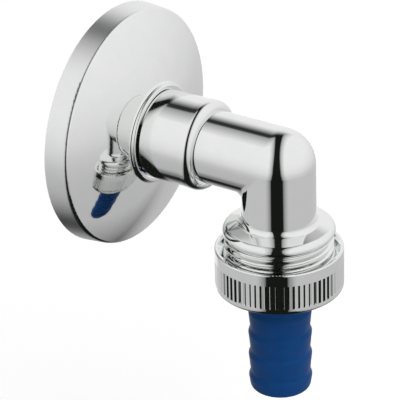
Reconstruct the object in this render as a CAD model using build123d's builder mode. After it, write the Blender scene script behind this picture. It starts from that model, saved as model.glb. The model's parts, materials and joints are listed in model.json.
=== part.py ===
from build123d import *
import os

# Hose connection elbow, in millimetres. The origin is the inlet axis on the wall plane. The elbow
# stands out along -Y, and its outlet points down along -Z.

# Inlet run of the elbow
projection = 46.5
tube_diameter = 18.0
tube_wall = 1.6
crotch_round = 2.0
sleeve_diameter = 22.0
sleeve_start = 4.0
bead_rise = 0.15
bead_width = 3.2
bead_to_outlet = 18.2
inlet_reach = 8.0
inlet_thread_diameter = 20.955

# Pipe threads of both ends: male ends are drawn at the root, and the nut's bore at its own root
thread_depth = 1.162
thread_play = 0.2
end_chamfer = 0.6

# Outlet leg of the elbow, measured down from the inlet axis
shoulder_drop = 14.7
shoulder_fall = 1.4
shoulder_depth = 2.8
shoulder_overhang = 0.38
shoulder_round = 1.6
shoulder_fillet = 1.5
spigot_length = 8.8
outlet_thread_diameter = 26.441

# Escutcheon, measured out from the wall plane
escutcheon_diameter = 60.0
escutcheon_height = 13.6
escutcheon_sheet = 1.0
rim_height = 5.8
rim_draft = 0.5
rim_round = 1.1
face_crown = 0.6
collar_height = 1.2
collar_fillet = 0.75
sleeve_play = 0.2
collar_round = 0.45

# Union nut
nut_wall = 2.18
nut_height = 10.9
nut_lip = 2.4
nut_top_round = 0.35
nut_bottom_round = 1.2
nut_mouth_chamfer = 1.4
groove_count = 72
groove_depth = 0.4
groove_top_margin = 3.0
groove_bottom_margin = 1.8

# Flat gasket and hose tail
gasket_thickness = 2.0
gasket_setback = 0.1
seat_play = 0.3
flange_thickness = 2.0
tail_bore = 11.0
tail_waist = 14.6
tail_barb = 15.6
barb_count = 4
barb_pitch = 6.0
barb_rise_length = 1.2
first_barb = 6.4
tail_length = 27.8
tail_end_round = 1.4
barb_round = 0.8

# Check valve insert
insert_length = 14.0
insert_play = 0.1
insert_flange = 1.5
insert_flange_diameter = 20.0
insert_wall = 0.8
seat_thickness = 3.2
seat_bore = 8.8
guide_height = 2.0
guide_ring = 1.2
guide_step = 0.4
guide_arm = 1.6
guide_arms = 3
guide_hub_diameter = 6.6
poppet_diameter = 10.8
poppet_thickness = 1.6
nose_height = 1.0
nose_top_diameter = 5.2
nose_base_diameter = 7.2
stem_diameter = 2.2
stem_play = 0.15
spring_boss_diameter = 4.0
spring_boss_height = 0.8
spring_wire = 0.5
spring_diameter = 5.2
spring_turns = 5
spring_gap = 0.05
seal_width = 0.7
seal_depth = 0.6
seal_proud = 0.3
seal_inset = 0.2
o_ring_section = 1.3
o_ring_play = 0.05
o_ring_groove_width = 1.7

# Radii and depths worked out from the sizes above
tube_radius = tube_diameter / 2
bore_radius = tube_radius - tube_wall
sleeve_radius = sleeve_diameter / 2
bead_radius = sleeve_radius + bead_rise
bead_front = projection - bead_to_outlet
bead_back = bead_front - bead_width
bead_round = bead_radius - tube_radius
inlet_root = inlet_thread_diameter / 2 - thread_depth
outlet_root = outlet_thread_diameter / 2 - thread_depth
shoulder_radius = outlet_thread_diameter / 2 + shoulder_overhang
shoulder_end = shoulder_drop + shoulder_depth
spigot_end = shoulder_end + spigot_length
collar_bore = sleeve_radius + sleeve_play
collar_radius = collar_bore + escutcheon_sheet
escutcheon_radius = escutcheon_diameter / 2
face_radius = escutcheon_radius - rim_draft
face_top = escutcheon_height - collar_height
face_slope = (face_top - rim_height) / (face_radius - collar_radius)
face_step = escutcheon_sheet * ((1 + face_slope**2) ** 0.5 - face_slope)
flange_radius = outlet_root - seat_play
gasket_end = spigot_end + gasket_thickness
flange_end = gasket_end + flange_thickness
nut_bore = outlet_thread_diameter / 2 + thread_play
nut_radius = nut_bore + nut_wall
nut_bottom = flange_end + nut_lip
nut_top = nut_bottom - nut_height
nut_hole = tail_barb / 2 + seat_play
tail_end = nut_bottom + tail_length
insert_top = spigot_end - insert_length
insert_radius = bore_radius - insert_play
insert_flange_radius = insert_flange_diameter / 2
flange_seat = spigot_end - insert_flange
chamber_radius = insert_radius - insert_wall
guide_seat = chamber_radius + guide_step
guide_top = spigot_end - guide_height
seat_under = insert_top + seat_thickness
o_ring_depth = insert_top + seat_thickness / 2
o_ring_floor = bore_radius - o_ring_section - 2 * o_ring_play
poppet_radius = poppet_diameter / 2
poppet_top = seat_under + seal_proud
poppet_under = poppet_top + poppet_thickness
seal_outer = poppet_radius - seal_inset
seal_inner = seal_outer - seal_width
stem_radius = stem_diameter / 2
guide_outer = guide_seat - insert_play
coil_base = guide_top - spring_gap - spring_wire / 2
coil_top = poppet_under + spring_gap + spring_wire / 2

outlet_axis = Axis((0, -projection, 0), (0, 0, 1))
outlet_plane = Plane.XZ.offset(projection)


def level(depth):
    """Horizontal plane on the outlet axis, at a depth below the inlet axis."""
    return Plane((0, -projection, -depth))


os.makedirs("parts", exist_ok=True)

# Elbow body: inlet end, sleeve, bead, tube, ball corner, flared shoulder and spigot
with BuildPart() as elbow_body:
    with BuildSketch(Plane.XY):
        with BuildLine():
            Polyline(
                (tube_radius, -bead_front),
                (tube_radius, -projection),
                (0, -projection),
                (0, inlet_reach),
                (inlet_root - end_chamfer, inlet_reach),
                (inlet_root, inlet_reach - end_chamfer),
                (inlet_root, -sleeve_start),
                (sleeve_radius, -sleeve_start),
                (sleeve_radius, -bead_back),
                (bead_radius, -bead_back),
                (bead_radius, -bead_front + bead_round),
            )
            RadiusArc((bead_radius, -bead_front + bead_round), (tube_radius, -bead_front), bead_round)
        make_face()
    revolve(axis=Axis.Y)
    with Locations((0, -projection, 0)):
        Sphere(tube_radius)
    with BuildSketch(outlet_plane) as outlet_profile:
        with BuildLine():
            Polyline(
                (0, 0),
                (tube_radius, 0),
                (tube_radius, -shoulder_drop),
                (shoulder_radius, -shoulder_drop - shoulder_fall),
                (shoulder_radius, -shoulder_end),
                (outlet_root, -shoulder_end),
                (outlet_root, -spigot_end + end_chamfer),
                (outlet_root - end_chamfer, -spigot_end),
                (0, -spigot_end),
                close=True,
            )
        make_face()
        waist_corner = outlet_profile.vertices().sort_by_distance((tube_radius, -shoulder_drop)).first
        fillet(waist_corner, shoulder_fillet)
        brow = (shoulder_radius, -shoulder_drop - shoulder_fall)
        fillet(outlet_profile.vertices().sort_by_distance(brow).first, shoulder_round)
    revolve(axis=outlet_axis)
    fillet(elbow_body.edges().filter_by(GeomType.ELLIPSE), crotch_round)
    with BuildSketch(Plane.XZ.offset(-inlet_reach)):
        Circle(bore_radius)
    extrude(amount=inlet_reach + projection, mode=Mode.SUBTRACT)
    with Locations((0, -projection, 0)):
        Sphere(bore_radius, mode=Mode.SUBTRACT)
    with BuildSketch(level(spigot_end)):
        Circle(bore_radius)
    extrude(amount=spigot_end, mode=Mode.SUBTRACT)
    with BuildSketch(level(spigot_end)):
        Circle(insert_flange_radius + insert_play)
    extrude(amount=insert_flange, mode=Mode.SUBTRACT)
elbow_body.part.label = "elbow_body"
export_step(elbow_body.part, "parts/elbow_body.step")

# Escutcheon: pressed bell with a straight rim, a crowned face and a short collar round the sleeve
with BuildPart() as escutcheon:
    with BuildSketch(Plane.XY) as shell_profile:
        with BuildLine():
            outer_rim = Line((escutcheon_radius, 0), (face_radius, -rim_height))
            outer_face = SagittaArc(outer_rim @ 1, (collar_radius, -face_top), face_crown)
            collar = Polyline(
                outer_face @ 1,
                (collar_radius, -escutcheon_height),
                (collar_bore, -escutcheon_height),
                (collar_bore, -face_top + face_step),
            )
            inner_rim = Line(
                (face_radius - escutcheon_sheet, -rim_height + face_step),
                (escutcheon_radius - escutcheon_sheet, 0),
            )
            SagittaArc(collar @ 1, inner_rim @ 0, -face_crown)
            Line(inner_rim @ 1, outer_rim @ 0)
        make_face()
        fillet(shell_profile.vertices().sort_by_distance(outer_face @ 0).first, rim_round)
        fillet(shell_profile.vertices().sort_by_distance(outer_face @ 1).first, collar_fillet)
        lip_corner = (collar_radius, -escutcheon_height)
        fillet(shell_profile.vertices().sort_by_distance(lip_corner).first, collar_round)
    revolve(axis=Axis.Y)
escutcheon.part.label = "escutcheon"
export_step(escutcheon.part, "parts/escutcheon.step")

# Union nut: knurled band, bore round the spigot, and a lip under the tail's flange
with BuildPart() as union_nut:
    with BuildSketch(outlet_plane) as nut_profile:
        with BuildLine():
            Polyline(
                (nut_hole, -nut_bottom),
                (nut_radius, -nut_bottom),
                (nut_radius, -nut_top),
                (nut_bore + nut_mouth_chamfer, -nut_top),
                (nut_bore, -nut_top - nut_mouth_chamfer),
                (nut_bore, -flange_end),
                (nut_hole, -flange_end),
                close=True,
            )
        make_face()
        fillet(nut_profile.vertices().sort_by_distance((nut_radius, -nut_top)).first, nut_top_round)
        fillet(nut_profile.vertices().sort_by_distance((nut_radius, -nut_bottom)).first, nut_bottom_round)
    revolve(axis=outlet_axis)
    with BuildSketch(level(nut_bottom - groove_bottom_margin)):
        with PolarLocations(nut_radius, groove_count):
            RegularPolygon(groove_depth, 4)
    extrude(amount=nut_height - groove_top_margin - groove_bottom_margin, mode=Mode.SUBTRACT)
union_nut.part.label = "union_nut"
export_step(union_nut.part, "parts/union_nut.step")

# Flat gasket between the spigot's end and the tail's flange
with BuildPart() as flat_gasket:
    with BuildSketch(level(gasket_end)):
        Circle(flange_radius)
        Circle(bore_radius + gasket_setback, mode=Mode.SUBTRACT)
    extrude(amount=gasket_thickness)
flat_gasket.part.label = "flat_gasket"
export_step(flat_gasket.part, "parts/flat_gasket.step")

# Hose tail: flange, neck and barbs that rise fast and taper away from the nut
with BuildPart() as hose_tail:
    with BuildSketch(outlet_plane) as tail_profile:
        outline = [
            (tail_bore / 2, -gasket_end),
            (flange_radius, -gasket_end),
            (flange_radius, -flange_end),
            (tail_waist / 2, -flange_end),
        ]
        for i in range(barb_count):
            crest_depth = nut_bottom + first_barb + i * barb_pitch
            outline.append((tail_waist / 2, -crest_depth + barb_rise_length))
            outline.append((tail_barb / 2, -crest_depth))
        outline.append((tail_waist / 2, -tail_end))
        outline.append((tail_bore / 2, -tail_end))
        with BuildLine():
            Polyline(*outline, close=True)
        make_face()
        barb_crests = tail_profile.vertices().group_by(Axis.X)[-2]
        fillet(barb_crests, barb_round)
        fillet(tail_profile.vertices().sort_by_distance((tail_waist / 2, -tail_end)).first, tail_end_round)
    revolve(axis=outlet_axis)
hose_tail.part.label = "hose_tail"
export_step(hose_tail.part, "parts/hose_tail.step")

# Valve housing: seat ring with an outer seal groove, thin chamber wall and a flange in the spigot
with BuildPart() as valve_housing:
    with BuildSketch(outlet_plane):
        with BuildLine():
            Polyline(
                (seat_bore / 2, -insert_top),
                (insert_radius, -insert_top),
                (insert_radius, -o_ring_depth + o_ring_groove_width / 2),
                (o_ring_floor, -o_ring_depth + o_ring_groove_width / 2),
                (o_ring_floor, -o_ring_depth - o_ring_groove_width / 2),
                (insert_radius, -o_ring_depth - o_ring_groove_width / 2),
                (insert_radius, -flange_seat),
                (insert_flange_radius, -flange_seat),
                (insert_flange_radius, -spigot_end),
                (guide_seat, -spigot_end),
                (guide_seat, -guide_top),
                (chamber_radius, -guide_top),
                (chamber_radius, -seat_under),
                (seat_bore / 2, -seat_under),
                close=True,
            )
        make_face()
    revolve(axis=outlet_axis)
valve_housing.part.label = "valve_housing"
export_step(valve_housing.part, "parts/valve_housing.step")

# O-ring between the housing and the elbow's bore
with BuildPart() as housing_o_ring:
    with BuildSketch(outlet_plane):
        with Locations((o_ring_floor + o_ring_play + o_ring_section / 2, -o_ring_depth)):
            Circle(o_ring_section / 2)
    revolve(axis=outlet_axis)
housing_o_ring.part.label = "housing_o_ring"
export_step(housing_o_ring.part, "parts/housing_o_ring.step")

# Valve guide: outer ring, arms and a hub that the poppet's stem slides in
with BuildPart() as valve_guide:
    with BuildSketch(level(spigot_end)):
        Circle(guide_outer)
        Circle(guide_outer - guide_ring, mode=Mode.SUBTRACT)
        with PolarLocations(guide_outer / 2 - guide_ring / 4, guide_arms):
            Rectangle(guide_outer - guide_ring / 2, guide_arm)
        Circle(guide_hub_diameter / 2)
        Circle(stem_radius + stem_play, mode=Mode.SUBTRACT)
    extrude(amount=guide_height)
valve_guide.part.label = "valve_guide"
export_step(valve_guide.part, "parts/valve_guide.step")

# Valve poppet: nose, disc with a seal groove, spring boss and stem
with BuildPart() as valve_poppet:
    with BuildSketch(outlet_plane):
        with BuildLine():
            Polyline(
                (0, -poppet_top + nose_height),
                (nose_top_diameter / 2, -poppet_top + nose_height),
                (nose_base_diameter / 2, -poppet_top),
                (seal_inner, -poppet_top),
                (seal_inner, -poppet_top - seal_depth),
                (seal_outer, -poppet_top - seal_depth),
                (seal_outer, -poppet_top),
                (poppet_radius, -poppet_top),
                (poppet_radius, -poppet_under),
                (spring_boss_diameter / 2, -poppet_under),
                (spring_boss_diameter / 2, -poppet_under - spring_boss_height),
                (stem_radius, -poppet_under - spring_boss_height),
                (stem_radius, -spigot_end),
                (0, -spigot_end),
                close=True,
            )
        make_face()
    revolve(axis=outlet_axis)
valve_poppet.part.label = "valve_poppet"
export_step(valve_poppet.part, "parts/valve_poppet.step")

# Poppet seal, proud of the disc by what it takes to meet the seat
with BuildPart() as poppet_seal:
    with BuildSketch(level(poppet_top + seal_depth)):
        Circle(seal_outer)
        Circle(seal_inner, mode=Mode.SUBTRACT)
    extrude(amount=seal_depth + seal_proud)
poppet_seal.part.label = "poppet_seal"
export_step(poppet_seal.part, "parts/poppet_seal.step")

# Valve spring between the guide's hub and the poppet's disc
with BuildPart() as valve_spring:
    with BuildLine() as coil:
        Helix(
            pitch=(coil_base - coil_top) / spring_turns,
            height=coil_base - coil_top,
            radius=spring_diameter / 2,
            center=(0, -projection, -coil_base),
        )
    with BuildSketch(Plane(coil.line @ 0, z_dir=coil.line % 0)):
        Circle(spring_wire / 2)
    sweep(is_frenet=True)
valve_spring.part.label = "valve_spring"
export_step(valve_spring.part, "parts/valve_spring.step")
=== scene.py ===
import json
from math import cos, pi, radians, sin

import bmesh
import bpy
from mathutils import Matrix, Vector


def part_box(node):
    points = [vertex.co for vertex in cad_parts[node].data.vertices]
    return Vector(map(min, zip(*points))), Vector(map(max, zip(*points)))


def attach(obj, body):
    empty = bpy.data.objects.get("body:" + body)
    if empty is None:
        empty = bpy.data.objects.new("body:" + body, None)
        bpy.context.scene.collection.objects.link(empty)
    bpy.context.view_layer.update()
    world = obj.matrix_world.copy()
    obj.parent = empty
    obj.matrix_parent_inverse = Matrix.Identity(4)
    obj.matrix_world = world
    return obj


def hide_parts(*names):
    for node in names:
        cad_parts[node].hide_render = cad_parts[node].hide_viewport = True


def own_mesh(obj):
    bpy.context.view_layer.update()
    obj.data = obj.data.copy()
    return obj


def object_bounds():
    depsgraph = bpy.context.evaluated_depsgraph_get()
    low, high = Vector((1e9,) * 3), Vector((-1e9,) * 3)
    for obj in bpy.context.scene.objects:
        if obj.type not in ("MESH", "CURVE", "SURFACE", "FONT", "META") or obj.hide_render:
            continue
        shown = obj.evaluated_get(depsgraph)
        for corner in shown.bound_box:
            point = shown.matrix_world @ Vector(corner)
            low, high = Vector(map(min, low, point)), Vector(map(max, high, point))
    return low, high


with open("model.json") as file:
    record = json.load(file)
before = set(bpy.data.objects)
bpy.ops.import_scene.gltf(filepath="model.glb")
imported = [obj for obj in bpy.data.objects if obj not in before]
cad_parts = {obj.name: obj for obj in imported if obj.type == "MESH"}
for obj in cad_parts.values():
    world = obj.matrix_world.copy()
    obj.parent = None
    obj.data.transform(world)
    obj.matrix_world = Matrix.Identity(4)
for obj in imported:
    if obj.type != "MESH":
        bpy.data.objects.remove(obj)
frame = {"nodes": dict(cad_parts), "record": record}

cad_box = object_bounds()

MM = 0.001
X_AXIS = Vector((1, 0, 0))
Y_AXIS = Vector((0, 1, 0))
Z_AXIS = Vector((0, 0, 1))
WHITE = (1, 1, 1)

# Pipe threads: both ends have the same pitch and depth, and the nut's thread follows with some play.
# The skin lifts a thread off the cylinder that carries it, and the lead is where it fades at an open end.
THREAD_PITCH = 1.814 * MM
THREAD_DEPTH = 1.162 * MM
THREAD_PLAY = 0.2 * MM
THREAD_SKIN = 0.03 * MM
THREAD_LEAD = 1.3 * MM
THREAD_STEPS = 240
PROFILE_STEPS = 20
OUTLET_THREAD_RADIUS = 26.441 / 2 * MM
INLET_THREAD_RADIUS = 20.955 / 2 * MM
OUTLET_THREAD_LENGTH = 8.8 * MM
INLET_THREAD_LENGTH = 12.0 * MM
OUTLET_TURN = 217 / 360
NUT_THREAD_TOP = 1.4 * MM

# Finishes: a fine mottle moves between the two colours and the two values of roughness
METALS = {
    "chrome": {
        "name": "polished_chrome",
        "colours": ((0.80, 0.815, 0.81), (0.86, 0.865, 0.855)),
        "roughness": (0.03, 0.075),
        "mottle": (260, 4),
    },
    "spring_steel": {
        "name": "spring_wire",
        "colours": ((0.52, 0.52, 0.5), (0.66, 0.66, 0.64)),
        "roughness": (0.2, 0.35),
        "mottle": (900, 3),
    },
}
PLASTICS = {
    "blue_plastic": {
        "name": "blue_plastic",
        "colours": ((0.004, 0.046, 0.17), (0.007, 0.06, 0.215)),
        "roughness": (0.28, 0.4),
        "mottle": (300, 6),
        "gloss": 0.06,
    },
    "rubber": {
        "name": "black_rubber",
        "colours": ((0.012, 0.012, 0.012), (0.03, 0.03, 0.03)),
        "roughness": (0.6, 0.8),
        "mottle": (700, 6),
        "gloss": 0.3,
    },
    "white_plastic": {
        "name": "white_plastic",
        "colours": ((0.78, 0.78, 0.75), (0.86, 0.86, 0.83)),
        "roughness": (0.35, 0.5),
        "mottle": (400, 6),
        "gloss": 0.4,
    },
}
PLASTIC_BUMP_STRENGTH = 0.15
PLASTIC_BUMP_HEIGHT = 0.05 * MM

# The escutcheon's rim turns from polished to satin between these distances from the inlet's axis
RIM_RANGE = (29.0 * MM, 29.6 * MM)
RIM_ROUGHNESS = 0.3

# Camera of the photograph, in pixels of its 400 frame
FRAME_PIXELS = 400
VIEW_AZIMUTH = radians(-55.7)
VIEW_ELEVATION = radians(26.9)
VIEW_ROLL = radians(-1.55)
VIEW_DISTANCE = 0.7
VIEW_TARGET = Vector((0, -22.5, -15.0)) * MM
FOCAL_PIXELS = 2878
CENTRE_PIXEL = (195.2, 196.8)
SENSOR_WIDTH = 36.0

# Light tent round the object: pale walls that darken downwards, a white back, a dark slit in front that
# runs from the floor over the top, and a dark bar across its left side above and below the back.
# Tones and half widths go with the height of a direction, from -1 down to 1 up, the bar's tones with
# degrees round from the front, and its ends with how far a direction points to the right.
WALL_TONES = (
    (-1.0, 0.5), (-0.6, 0.55), (-0.42, 0.6), (-0.25, 0.78), (0.0, 0.9), (0.25, 0.95), (1.0, 0.97)
)
BACK_TONE = (0.95, 0.95, 0.95)
BACK_AZIMUTH = radians(140)
BACK_RANGE = (0.79, 0.89)
DARK_COLOUR = (0.009, 0.011, 0.009)
SLIT_AZIMUTH = radians(-62.5)
SLIT_HALF_WIDTHS = ((-1.0, 0.5), (-0.84, 0.44), (-0.42, 0.24), (-0.1, 0.2), (0.4, 0.17), (1.0, 0.11))
SLIT_SHOULDER = 0.24
SLIT_END_RANGE = (radians(115), radians(145))
BAR_PITCH_SHIFT = radians(6.5)
BAR_TONES = (
    (75, 1.0), (86, 0.8), (96, 0.6), (106, 0.4), (110, 0.03), (118, 0.02), (124, 0.25), (134, 0.7), (145, 1.0)
)
BAR_ENDS = ((-0.62, 1.0), (-0.46, 0.0), (0.06, 0.0), (0.14, 1.0))

# Floor, and the light on matt surfaces, which comes from the room more than from the wall's side
FLOOR_DROP = 70 * MM
FLOOR_SIZE = 12.0
FLOOR_COLOUR = (0.92, 0.92, 0.92)
FLOOR_ROUGHNESS = 0.9
FLOOR_GLOW = 0.38
ROOM_FILL_TONE = (0.64, 0.64, 0.64)
WALL_FILL_TONE = (0.02, 0.02, 0.02)
FILL_RANGE = (-0.5, 0.3)

# Name, place, size and power of each lamp
LAMPS = (
    ("key_light", (-0.9, -1.0, 1.3), 1.2, 14),
    ("fill_light", (1.1, -0.7, 0.8), 1.2, 6),
    ("back_light", (-0.3, 1.2, 1.0), 1.0, 1),
)


class Graph:
    """Short ways to add nodes to the node tree of a material or of the world."""

    def __init__(self, owner):
        owner.use_nodes = True
        self.nodes = owner.node_tree.nodes
        self.links = owner.node_tree.links

    def feed(self, socket, value):
        """Set an input from another node's output, or to a plain value."""
        if isinstance(value, bpy.types.NodeSocket):
            self.links.new(value, socket)
        else:
            socket.default_value = value

    def place(self, name):
        """Coordinates of one kind: Object on a material, Generated as a direction in the world."""
        return self.nodes.new("ShaderNodeTexCoord").outputs[name]

    def noise(self, scale, detail):
        """Noise over the object's own coordinates."""
        texture = self.nodes.new("ShaderNodeTexNoise")
        self.feed(texture.inputs["Vector"], self.place("Object"))
        self.feed(texture.inputs["Scale"], scale)
        self.feed(texture.inputs["Detail"], detail)
        return texture.outputs["Fac"]

    def map_range(self, source, start=(0, 1), end=(0, 1), smooth=False):
        """The source carried from one range to another, and kept inside it."""
        node = self.nodes.new("ShaderNodeMapRange")
        node.interpolation_type = "SMOOTHSTEP" if smooth else "LINEAR"
        for name, value in zip(("From Min", "From Max", "To Min", "To Max"), (*start, *end)):
            self.feed(node.inputs[name], value)
        self.feed(node.inputs["Value"], source)
        return node.outputs["Result"]

    def calculate(self, operation, *values):
        """One step of arithmetic on outputs or plain numbers."""
        node = self.nodes.new("ShaderNodeMath")
        node.operation = operation
        for socket, value in zip(node.inputs, values):
            self.feed(socket, value)
        return node.outputs["Value"]

    def vector(self, operation, output, *values):
        """One step of vector arithmetic, whose output is a Vector or a Value."""
        node = self.nodes.new("ShaderNodeVectorMath")
        node.operation = operation
        for socket, value in zip(node.inputs, values):
            self.feed(socket, value)
        return node.outputs[output]

    def dot(self, direction, axis):
        """How far a direction points along a fixed axis."""
        return self.vector("DOT_PRODUCT", "Value", direction, axis)

    def mix(self, factor, first, second):
        """First colour where the factor is 0, second where it is 1."""
        node = self.nodes.new("ShaderNodeMix")
        node.data_type = "RGBA"
        self.feed(node.inputs["Factor"], factor)
        for name, colour in (("A", first), ("B", second)):
            self.feed(node.inputs[name], (*colour, 1) if isinstance(colour, tuple) else colour)
        return node.outputs["Result"]

    def ramp(self, source, low, high, stops, smooth):
        """Grey that follows stops of place and tone as the source goes from low to high."""
        node = self.nodes.new("ShaderNodeValToRGB")
        node.color_ramp.interpolation = "B_SPLINE" if smooth else "LINEAR"
        marks = node.color_ramp.elements
        while len(marks) < len(stops):
            marks.new(0.5)
        for mark, (place, tone) in zip(marks, stops):
            mark.position = (place - low) / (high - low)
            mark.color = (tone, tone, tone, 1)
        self.feed(node.inputs["Fac"], self.map_range(source, (low, high)))
        return node.outputs["Color"]


def new_material(name):
    """Node material, with its graph and the inputs of its one principled shader."""
    material = bpy.data.materials.new(name)
    graph = Graph(material)
    return material, graph, graph.nodes["Principled BSDF"].inputs


def metal_material(name, colours, roughness, mottle, satin_rim=False):
    """Metal whose finish varies a little, and is satin far from the inlet's axis if asked."""
    material, graph, shader = new_material(name)
    haze = graph.noise(*mottle)
    finish = graph.map_range(haze, end=roughness)
    if satin_rim:
        from_axis = graph.vector("MULTIPLY", "Vector", graph.place("Object"), X_AXIS + Z_AXIS)
        distance = graph.vector("LENGTH", "Value", from_axis)
        satin = graph.map_range(graph.map_range(distance, RIM_RANGE, smooth=True), end=(0, RIM_ROUGHNESS))
        finish = graph.calculate("MAXIMUM", finish, satin)
    graph.feed(shader["Metallic"], 1.0)
    graph.feed(shader["Base Color"], graph.mix(haze, *colours))
    graph.feed(shader["Roughness"], finish)
    return material


def plastic_material(name, colours, roughness, mottle, gloss):
    """Plastic or rubber with a mottled colour and fine bumps."""
    material, graph, shader = new_material(name)
    grain = graph.noise(*mottle)
    bump = graph.nodes.new("ShaderNodeBump")
    graph.feed(bump.inputs["Strength"], PLASTIC_BUMP_STRENGTH)
    graph.feed(bump.inputs["Distance"], PLASTIC_BUMP_HEIGHT)
    graph.feed(bump.inputs["Height"], grain)
    graph.feed(shader["Specular IOR Level"], gloss)
    graph.feed(shader["Base Color"], graph.mix(grain, *colours))
    graph.feed(shader["Roughness"], graph.map_range(grain, end=roughness))
    graph.feed(shader["Normal"], bump.outputs["Normal"])
    return material


def dress_nodes():
    """Give each CAD node the material of its slot, and the escutcheon its satin rim."""
    finishes = {slot: metal_material(**values) for slot, values in METALS.items()}
    finishes.update({slot: plastic_material(**values) for slot, values in PLASTICS.items()})
    for subpart in frame["record"]["subparts"]:
        node = frame["nodes"][subpart["node"]]
        node.data.materials.clear()
        node.data.materials.append(finishes[subpart["material_slot"]])
    rim_values = {**METALS["chrome"], "name": "chrome_with_satin_rim"}
    frame["nodes"]["escutcheon"].data.materials[0] = metal_material(**rim_values, satin_rim=True)
    return finishes


def add_piece(name, mesh, material, body):
    """New object with one material, riding on a body."""
    mesh.materials.clear()
    mesh.materials.append(material)
    piece = bpy.data.objects.new(name, mesh)
    bpy.context.collection.objects.link(piece)
    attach(piece, body)
    return piece


def ring_mesh(name, rows):
    """Closed ring surface through rows of points, each row once round, the last joined to the first."""
    shape = bmesh.new()
    rings = [[shape.verts.new(point) for point in row] for row in rows]
    for ring, following in zip(rings, rings[1:] + rings[:1]):
        for i in range(len(ring)):
            j = (i + 1) % len(ring)
            shape.faces.new((ring[i], ring[j], following[j], following[i]))
    bmesh.ops.recalc_face_normals(shape, faces=shape.faces)
    mesh = bpy.data.meshes.new(name)
    shape.to_mesh(mesh)
    shape.free()
    mesh.polygons.foreach_set("use_smooth", [True] * len(mesh.polygons))
    return mesh


def thread_wave(turn, along, length, first_fade, last_fade):
    """Height of a round-crested thread, which fades over a lead at the ends that ask for it."""
    height = THREAD_DEPTH * (0.5 + 0.5 * cos(2 * pi * (along / THREAD_PITCH - turn)))
    if first_fade:
        height *= min(1, along / THREAD_LEAD)
    if last_fade:
        height *= min(1, (length - along) / THREAD_LEAD)
    return height


def thread_rows(origin, axes, length, root, wall, phase, fades):
    """Rows of a ring between a plain wall and the wavy face of a right-hand thread."""
    across, side, forward = axes
    steps = round(length / THREAD_PITCH * PROFILE_STEPS)
    levels = [length * i / steps for i in range(steps + 1)]
    turns = [i / THREAD_STEPS for i in range(THREAD_STEPS)]

    def point(radius, turn, along):
        angle = 2 * pi * turn
        return origin + radius * (cos(angle) * across + sin(angle) * side) + along * forward

    rows = [[point(wall, turn, along) for turn in turns] for along in (levels[0], levels[-1])]
    for along in reversed(levels):
        rows.append([
            point(root + thread_wave(turn + phase, along, length, *fades), turn, along) for turn in turns
        ])
    return rows


def add_threads(chrome):
    """Threads of the spigot, the nut and the inlet, each carried by the plain cylinder of its node."""
    tail_low, tail_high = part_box("hose_tail")
    elbow_low, elbow_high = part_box("elbow_body")
    nut_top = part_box("union_nut")[1][2]
    outlet_end = Vector((0, (tail_low[1] + tail_high[1]) / 2, elbow_low[2]))
    inlet_start = Vector((0, elbow_high[1] - INLET_THREAD_LENGTH, 0))
    outlet_axes = (X_AXIS, Y_AXIS, Z_AXIS)
    inlet_axes = (Z_AXIS, X_AXIS, Y_AXIS)
    outlet_root = OUTLET_THREAD_RADIUS - THREAD_DEPTH
    inlet_root = INLET_THREAD_RADIUS - THREAD_DEPTH
    nut_root = outlet_root + THREAD_PLAY

    outlet_rows = thread_rows(
        outlet_end, outlet_axes, OUTLET_THREAD_LENGTH,
        outlet_root + 2 * THREAD_SKIN, outlet_root + THREAD_SKIN, OUTLET_TURN, (True, False),
    )
    nut_rows = thread_rows(
        outlet_end, outlet_axes, nut_top - NUT_THREAD_TOP - outlet_end.z,
        nut_root, nut_root + THREAD_DEPTH - THREAD_SKIN, OUTLET_TURN, (False, False),
    )
    inlet_rows = thread_rows(
        inlet_start, inlet_axes, INLET_THREAD_LENGTH,
        inlet_root + 2 * THREAD_SKIN, inlet_root + THREAD_SKIN, 0, (False, True),
    )
    for name, rows, body in (
        ("outlet_thread", outlet_rows, "elbow"),
        ("nut_thread", nut_rows, "nut"),
        ("inlet_thread", inlet_rows, "elbow"),
    ):
        add_piece(name, ring_mesh(name, rows), chrome, body)


def add_spring(steel):
    """Copy of the spring's node, riding on the elbow in place of the node, which is hidden."""
    mesh = frame["nodes"]["valve_spring"].data.copy()
    coil = add_piece("spring_coil", mesh, steel, "elbow")
    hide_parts("valve_spring")
    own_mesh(coil)


def add_floor():
    """Pale floor under the object, white to the camera and open to its shadow."""
    bpy.ops.mesh.primitive_plane_add(size=FLOOR_SIZE, location=(0, 0, cad_box[0][2] - FLOOR_DROP))
    floor = bpy.context.object
    floor.name = "floor"
    floor.visible_glossy = False
    material, graph, shader = new_material("pale_floor")
    camera_ray = graph.nodes.new("ShaderNodeLightPath").outputs["Is Camera Ray"]
    graph.feed(shader["Base Color"], (*FLOOR_COLOUR, 1))
    graph.feed(shader["Roughness"], FLOOR_ROUGHNESS)
    graph.feed(shader["Emission Color"], (*WHITE, 1))
    graph.feed(shader["Emission Strength"], graph.map_range(camera_ray, end=(0, FLOOR_GLOW)))
    floor.data.materials.append(material)


def add_lights():
    """Large soft lamps above and to both sides, which no mirror shows."""
    for name, place, size, power in LAMPS:
        lamp = bpy.data.lights.new(name, "AREA")
        lamp.size = size
        lamp.energy = power
        stand = bpy.data.objects.new(name, lamp)
        stand.location = place
        stand.visible_glossy = False
        stand.rotation_euler = (VIEW_TARGET - Vector(place)).to_track_quat("-Z", "Y").to_euler()
        bpy.context.collection.objects.link(stand)


def heading(azimuth):
    """Level direction at an azimuth, which goes round from the front to the right."""
    return Vector((sin(azimuth), -cos(azimuth), 0))


def sideways(azimuth):
    """Level direction to the right of one who looks back along an azimuth."""
    return Vector((cos(azimuth), sin(azimuth), 0))


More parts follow.
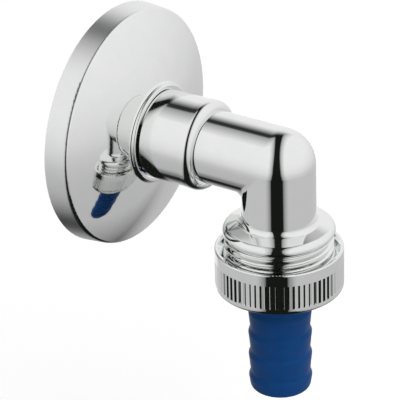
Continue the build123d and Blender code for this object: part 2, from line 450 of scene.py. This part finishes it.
def tent_colour(graph):
    """Colour of the light tent by direction."""
    direction = graph.place("Generated")
    across = graph.dot(direction, sideways(SLIT_AZIMUTH))
    ahead = graph.dot(direction, heading(SLIT_AZIMUTH))
    height = graph.dot(direction, Z_AXIS)
    walls = graph.ramp(height, -1, 1, WALL_TONES, True)
    backward = graph.dot(direction, heading(BACK_AZIMUTH))
    tone = graph.mix(graph.map_range(backward, BACK_RANGE, smooth=True), walls, BACK_TONE)

    half_width = graph.ramp(height, -1, 1, SLIT_HALF_WIDTHS, True)
    off_slit = graph.calculate("SUBTRACT", graph.calculate("ABSOLUTE", across), half_width)
    shoulder = graph.calculate("SQRT", graph.map_range(off_slit, (0, SLIT_SHOULDER)))
    pitch = graph.calculate("ARCTAN2", height, ahead)
    turn = graph.calculate("ABSOLUTE", graph.calculate("SUBTRACT", pitch, BAR_PITCH_SHIFT))
    past_slit = graph.map_range(turn, SLIT_END_RANGE, smooth=True)
    slit = graph.calculate("MAXIMUM", shoulder, past_slit)

    across_bar = graph.ramp(graph.calculate("DEGREES", turn), 0, 180, BAR_TONES, False)
    past_bar = graph.ramp(across, -1, 1, BAR_ENDS, False)
    bar = graph.calculate("MAXIMUM", across_bar, past_bar)
    return graph.mix(graph.calculate("MINIMUM", slit, bar), DARK_COLOUR, tone)


def add_world():
    """White to the camera, a plain fill on matt surfaces, and the light tent in what mirrors show."""
    world = bpy.data.worlds.new("studio")
    graph = Graph(world)
    rays = graph.nodes.new("ShaderNodeLightPath").outputs
    from_room = graph.map_range(graph.dot(graph.place("Generated"), -Y_AXIS), FILL_RANGE, smooth=True)
    fill = graph.mix(from_room, WALL_FILL_TONE, ROOM_FILL_TONE)
    seen = graph.calculate("MAXIMUM", rays["Is Camera Ray"], rays["Is Transmission Ray"])
    plain = graph.mix(seen, fill, WHITE)
    shown = graph.mix(rays["Is Glossy Ray"], plain, tent_colour(graph))
    graph.feed(graph.nodes["Background"].inputs["Color"], shown)
    bpy.context.scene.world = world


def add_camera():
    """Camera at the photograph's angle, with its frame shifted as the photograph is."""
    toward = cos(VIEW_ELEVATION) * heading(VIEW_AZIMUTH) + sin(VIEW_ELEVATION) * Z_AXIS
    right = Matrix.Rotation(VIEW_ROLL, 3, toward) @ sideways(VIEW_AZIMUTH)
    up = toward.cross(right)
    lens = bpy.data.cameras.new("camera")
    lens.sensor_width = SENSOR_WIDTH
    lens.lens = SENSOR_WIDTH * FOCAL_PIXELS / FRAME_PIXELS
    lens.shift_x = (FRAME_PIXELS / 2 - CENTRE_PIXEL[0]) / FRAME_PIXELS
    lens.shift_y = (CENTRE_PIXEL[1] - FRAME_PIXELS / 2) / FRAME_PIXELS
    camera = bpy.data.objects.new("camera", lens)
    turn = Matrix((right, up, toward)).transposed().to_4x4()
    camera.matrix_world = Matrix.Translation(VIEW_TARGET + VIEW_DISTANCE * toward) @ turn
    bpy.context.collection.objects.link(camera)
    bpy.context.scene.camera = camera


materials = dress_nodes()
add_threads(materials["chrome"])
add_spring(materials["spring_steel"])
add_floor()
add_lights()
add_world()
add_camera()
bpy.context.scene.view_settings.view_transform = "Standard"
